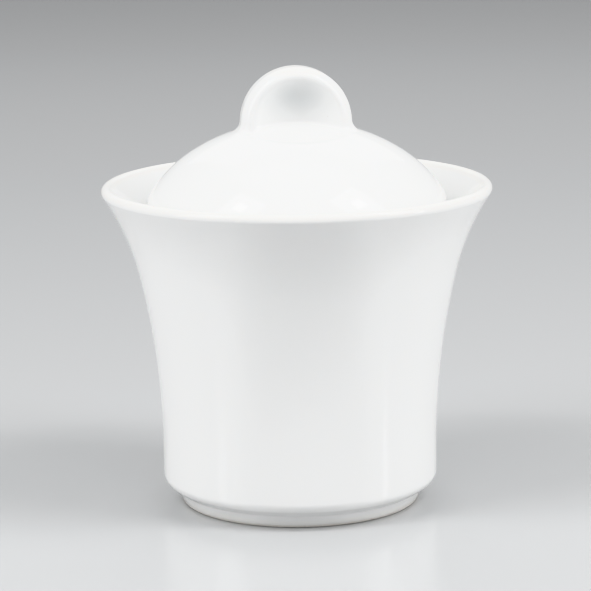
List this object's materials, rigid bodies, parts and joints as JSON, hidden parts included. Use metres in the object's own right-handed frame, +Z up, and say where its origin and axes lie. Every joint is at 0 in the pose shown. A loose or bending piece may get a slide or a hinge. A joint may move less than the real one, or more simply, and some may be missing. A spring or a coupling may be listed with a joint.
{
  "type": "lidded sugar bowl",
  "caption": "White glazed porcelain sugar bowl with a flared rim, a foot ring and a domed lift-off lid with a half-round finger knob.",
  "frame": {"origin": "centre of the foot ring, on the surface the bowl stands on", "axes": "+Z up along the axis of bowl and lid; the knob's disc stands in the XZ plane, its scooped faces towards -Y and +Y"},
  "size_m": [0.0994, 0.0994, 0.1122],
  "materials": {
    "bowl_porcelain": "glossy white glaze over white porcelain, with the foot ring's bearing face and the lid ledge left bare",
    "lid_porcelain": "glossy white glaze over white porcelain, with the seat and the end of the locating ring left bare"
  },
  "bodies": {
    "bowl": {"bowl": "bowl_porcelain"},
    "lid": {"lid": "lid_porcelain"}
  },
  "joints": [
    {"name": "lid_lift", "type": "slide", "parent": "bowl", "child": "lid", "axis": [0, 0, 1], "range_m": [0, 0.03]}
  ]
}
